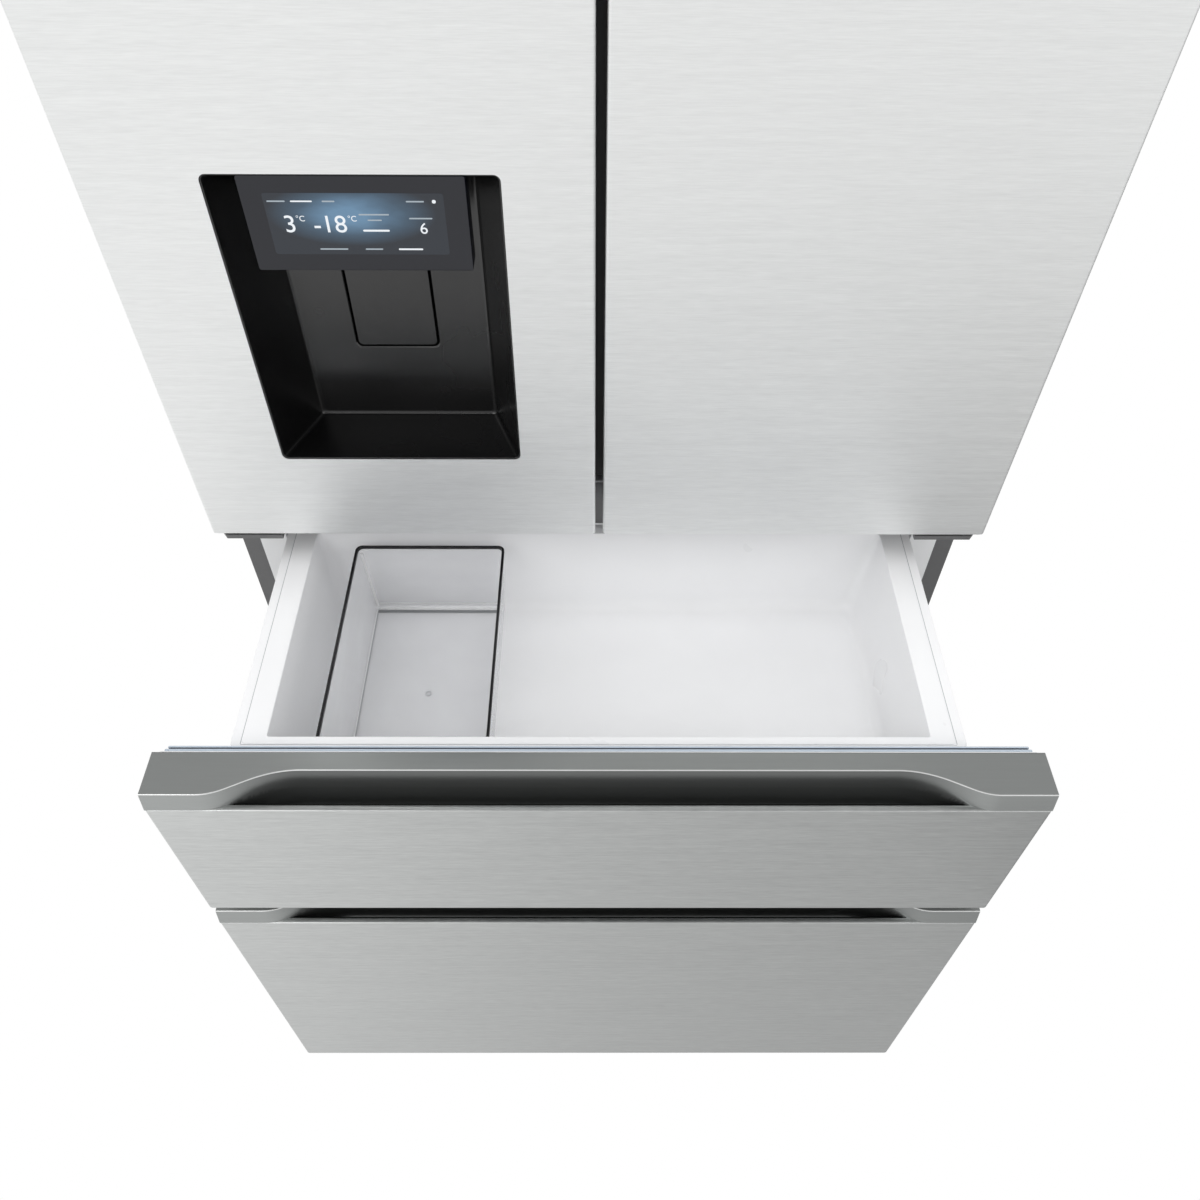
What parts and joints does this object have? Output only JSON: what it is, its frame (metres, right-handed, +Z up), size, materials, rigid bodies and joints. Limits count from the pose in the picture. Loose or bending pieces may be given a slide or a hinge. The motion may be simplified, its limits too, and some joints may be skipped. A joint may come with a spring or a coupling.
{
  "type": "french door fridge freezer with two drawers",
  "caption": "Tall steel fridge freezer with French doors, an ice and water dispenser, and pull-out drawers below with baskets and an organiser box.",
  "frame": {"origin": "on the floor, at the centre of the bounding box with both drawers open", "axes": "+X towards the appliance's right-hand side seen from the front, +Y towards its back, +Z up"},
  "size_m": [0.908, 1.0866, 1.78],
  "materials": {
    "door_steel": "fine brushed, clear coated",
    "handle_grey": "metallic grey, satin",
    "cap_silver": "satin",
    "case_grey": "satin",
    "galvanised": "dull zinc",
    "liner_white": "white, semi-gloss",
    "gasket_grey": "soft, matte",
    "clear_plastic": "translucent grey",
    "shelf_glass": "clear",
    "recess_black": "black, glossy",
    "dark_plastic": "dark grey, matte",
    "black_enamel": "black, semi-gloss",
    "condenser_paint": "black, satin",
    "evaporator_metal": "bright",
    "foam": "rigid foam"
  },
  "bodies": {
    "cabinet": {"case_wrap": "case_grey", "rear_panels": "case_grey", "base_frame": "galvanised", "insulation": "foam", "fridge_liner": "liner_white", "drawer_liners": "liner_white", "front_rails": "case_grey", "toe_grille": "dark_plastic", "top_hinges": "galvanised", "middle_hinges": "case_grey", "hinge_covers": "dark_plastic", "hinge_screws": "galvanised", "compressor": "black_enamel", "condenser_coil": "condenser_paint", "fan_bracket": "galvanised", "power_inlet": "dark_plastic", "evaporator": "evaporator_metal", "evaporator_cover": "liner_white", "fridge_duct": "liner_white", "shelf_glass": "shelf_glass", "shelf_frames": "liner_white", "fridge_drawers": "clear_plastic", "cabinet_rails": "galvanised"},
    "left_door": {"left_door_skin": "door_steel", "left_door_inner": "liner_white", "left_door_gasket": "gasket_grey", "left_door_caps": "cap_silver", "left_door_bin": "clear_plastic", "dispenser_housing": "recess_black", "dispenser_display": "recess_black", "dispenser_chute": "recess_black", "ice_maker": "clear_plastic"},
    "flap": {"mullion_flap": "dark_plastic"},
    "paddle": {"dispenser_paddle": "recess_black"},
    "right_door": {"right_door_skin": "door_steel", "right_door_inner": "liner_white", "right_door_gasket": "gasket_grey", "right_door_caps": "cap_silver", "right_door_bins": "clear_plastic"},
    "middle_drawer": {"middle_drawer_skin": "door_steel", "middle_drawer_inner": "liner_white", "middle_drawer_gasket": "gasket_grey", "middle_drawer_handle": "handle_grey", "middle_basket": "liner_white", "middle_basket_rails": "galvanised"},
    "organiser": {"organiser_box": "clear_plastic", "organiser_rim": "recess_black"},
    "bottom_drawer": {"bottom_drawer_skin": "door_steel", "bottom_drawer_inner": "liner_white", "bottom_drawer_gasket": "gasket_grey", "bottom_drawer_handle": "handle_grey", "bottom_basket": "liner_white", "bottom_basket_rails": "galvanised"},
    "tray": {"upper_tray": "liner_white"},
    "front_left_foot": {"left_foot": "dark_plastic"},
    "front_right_foot": {"right_foot": "dark_plastic"},
    "rear_left_roller": {"left_roller": "dark_plastic"},
    "rear_right_roller": {"right_roller": "dark_plastic"},
    "machine_fan": {"condenser_fan": "dark_plastic"},
    "cold_air_fan": {"freezer_fan": "dark_plastic"}
  },
  "joints": [
    {"name": "left_door_hinge", "type": "hinge", "parent": "cabinet", "child": "left_door", "pos_m": [-0.437, -0.1747, 0.872], "axis": [0, 0, -1], "range_deg": [0, 130]},
    {"name": "right_door_hinge", "type": "hinge", "parent": "cabinet", "child": "right_door", "pos_m": [0.437, -0.1747, 0.872], "axis": [0, 0, 1], "range_deg": [0, 130]},
    {"name": "flap_hinge", "type": "hinge", "parent": "left_door", "child": "flap", "pos_m": [-0.035, -0.1287, 0.9065], "axis": [0, 0, 1], "range_deg": [0, 90]},
    {"name": "paddle_hinge", "type": "hinge", "parent": "left_door", "child": "paddle", "pos_m": [-0.2155, -0.1207, 1.236], "axis": [1, 0, 0], "range_deg": [0, 8], "stiffness_Nm_per_rad": 0.5},
    {"name": "middle_drawer_slide", "type": "slide", "parent": "cabinet", "child": "middle_drawer", "axis": [0, -1, 0], "range_m": [-0.3386, 0]},
    {"name": "bottom_drawer_slide", "type": "slide", "parent": "cabinet", "child": "bottom_drawer", "axis": [0, -1, 0], "range_m": [-0.3386, 0]},
    {"name": "organiser_slide", "type": "slide", "parent": "middle_drawer", "child": "organiser", "axis": [1, 0, 0], "range_m": [-0.03, 0.45]},
    {"name": "tray_slide", "type": "slide", "parent": "cabinet", "child": "tray", "axis": [0, -1, 0], "range_m": [0, 0.3]},
    {"name": "left_foot_thread", "type": "hinge", "parent": "cabinet", "child": "front_left_foot", "pos_m": [-0.4, -0.1047, 0], "axis": [0, 0, 1], "continuous": true},
    {"name": "right_foot_thread", "type": "hinge", "parent": "cabinet", "child": "front_right_foot", "pos_m": [0.4, -0.1047, 0], "axis": [0, 0, 1], "continuous": true},
    {"name": "left_roller_axle", "type": "hinge", "parent": "cabinet", "child": "rear_left_roller", "pos_m": [-0.4, 0.4803, 0.02], "axis": [1, 0, 0], "continuous": true},
    {"name": "right_roller_axle", "type": "hinge", "parent": "cabinet", "child": "rear_right_roller", "pos_m": [0.4, 0.4803, 0.02], "axis": [1, 0, 0], "continuous": true},
    {"name": "machine_fan_spin", "type": "hinge", "parent": "cabinet", "child": "machine_fan", "pos_m": [-0.082, 0.4263, 0.142], "axis": [1, 0, 0], "continuous": true},
    {"name": "cold_air_fan_spin", "type": "hinge", "parent": "cabinet", "child": "cold_air_fan", "pos_m": [0, 0.3793, 0.4602], "axis": [0, 1, 0], "continuous": true}
  ],
  "couplings": [
    {"joint": "flap_hinge", "follows": "left_door_hinge", "ratio": 0.69}
  ]
}
